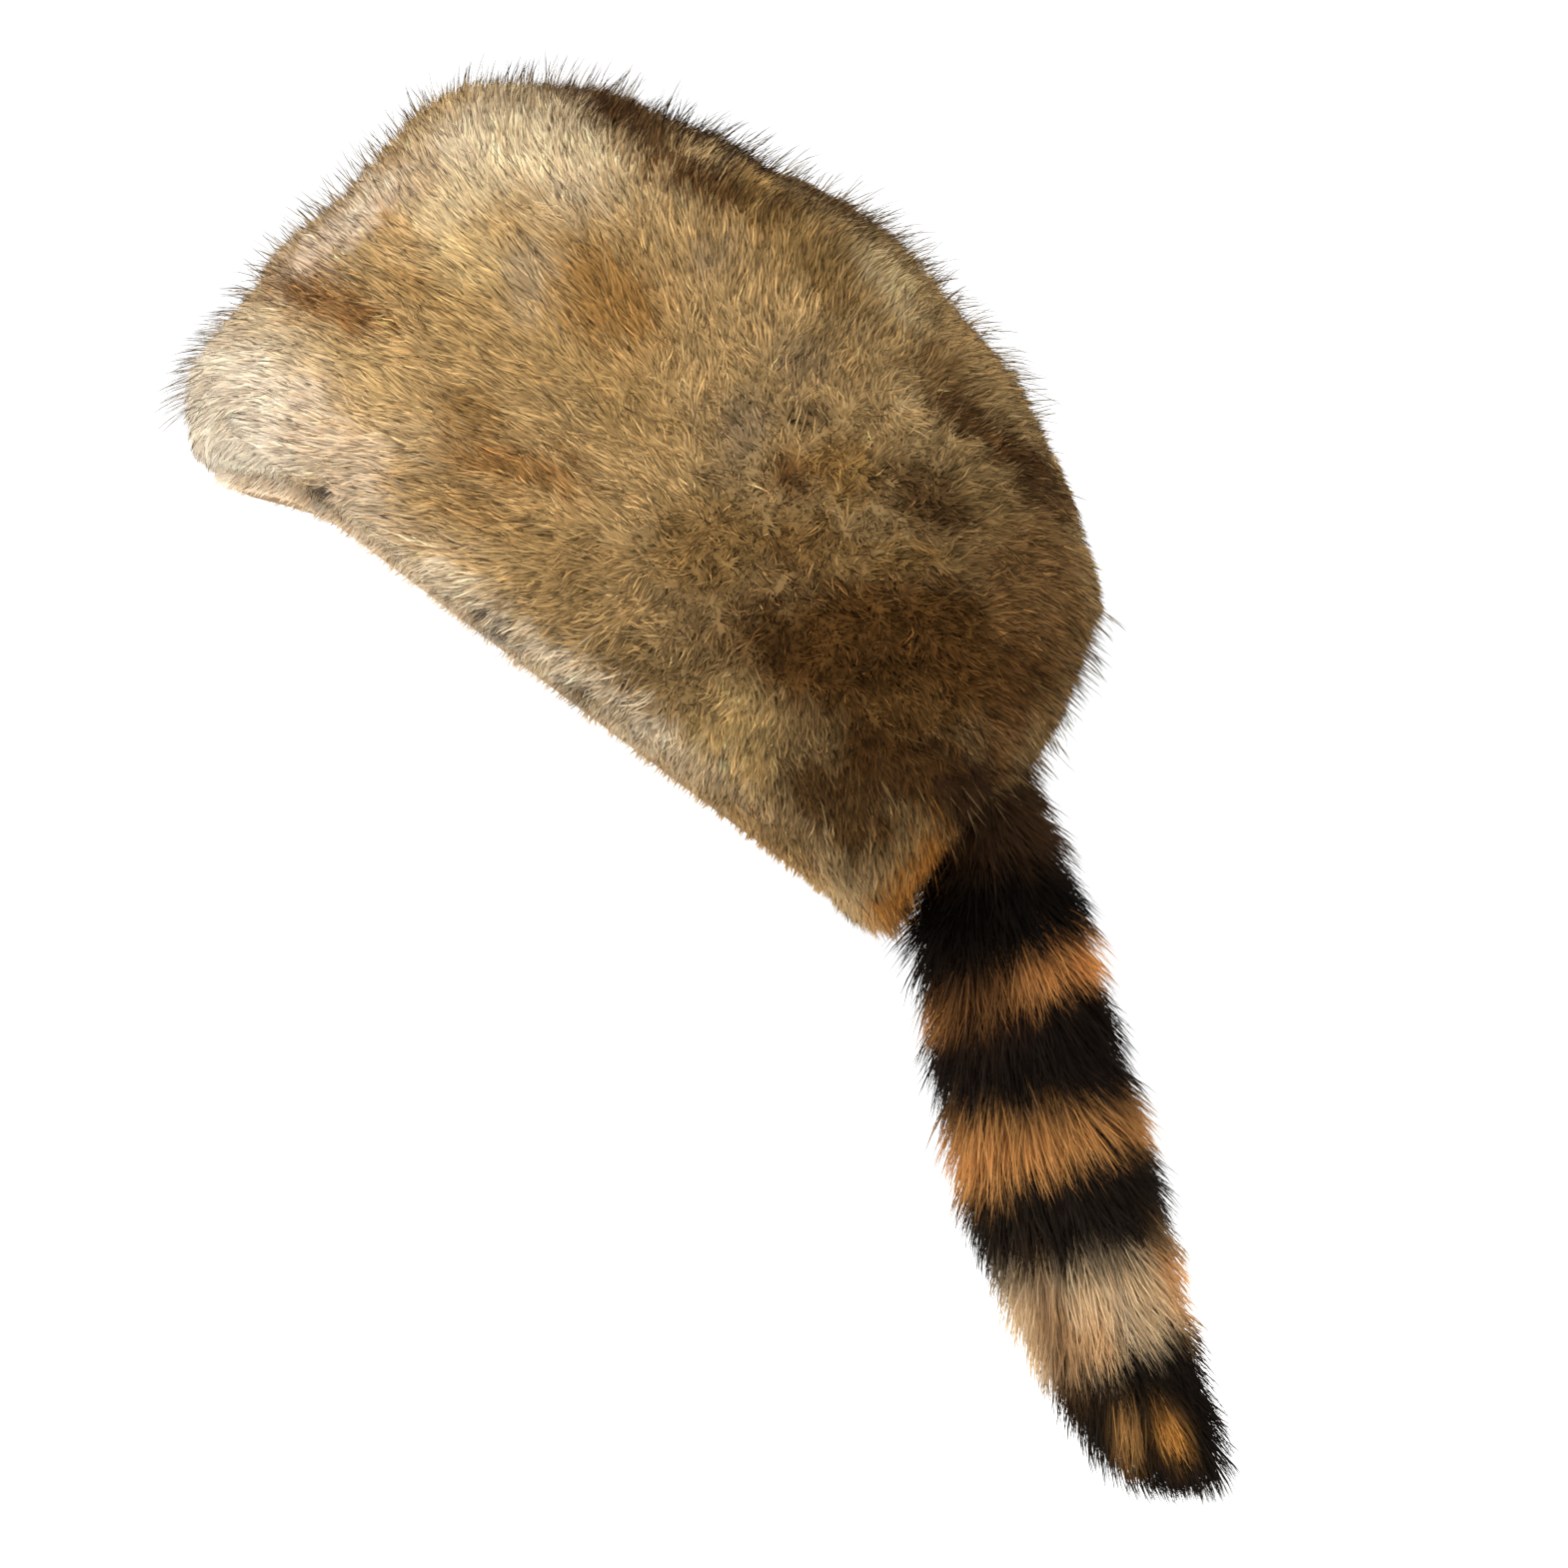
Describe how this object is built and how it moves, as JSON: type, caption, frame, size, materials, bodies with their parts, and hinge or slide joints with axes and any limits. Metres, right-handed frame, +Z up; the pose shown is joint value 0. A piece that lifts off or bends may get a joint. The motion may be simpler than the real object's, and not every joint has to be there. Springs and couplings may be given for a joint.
{
  "type": "coonskin cap",
  "caption": "Round raccoon fur cap with an oval top panel, a deep furry band with a dipping brow, and a ringed tail hanging from the back.",
  "frame": {"origin": "middle of the rim's mouth, where a head carries the cap", "axes": "+Z up as worn, -Y the way the wearer faces, +X the wearer's left; the rim slopes 37 degrees down to the back, as in the picture"},
  "size_m": [0.243, 0.3095, 0.4098],
  "materials": {
    "hide": "matt suede, the skin side of a tanned pelt",
    "cap_fur": "deep tan and grey-brown fur with dark-tipped guard hairs",
    "tail_fur": "thick fur in black rings and orange-tan rings"
  },
  "bodies": {
    "root": {"band_hide": "hide", "crown_hide": "hide", "band_fur": "cap_fur", "crown_fur": "cap_fur", "tail": "tail_fur"}
  },
  "joints": []
}
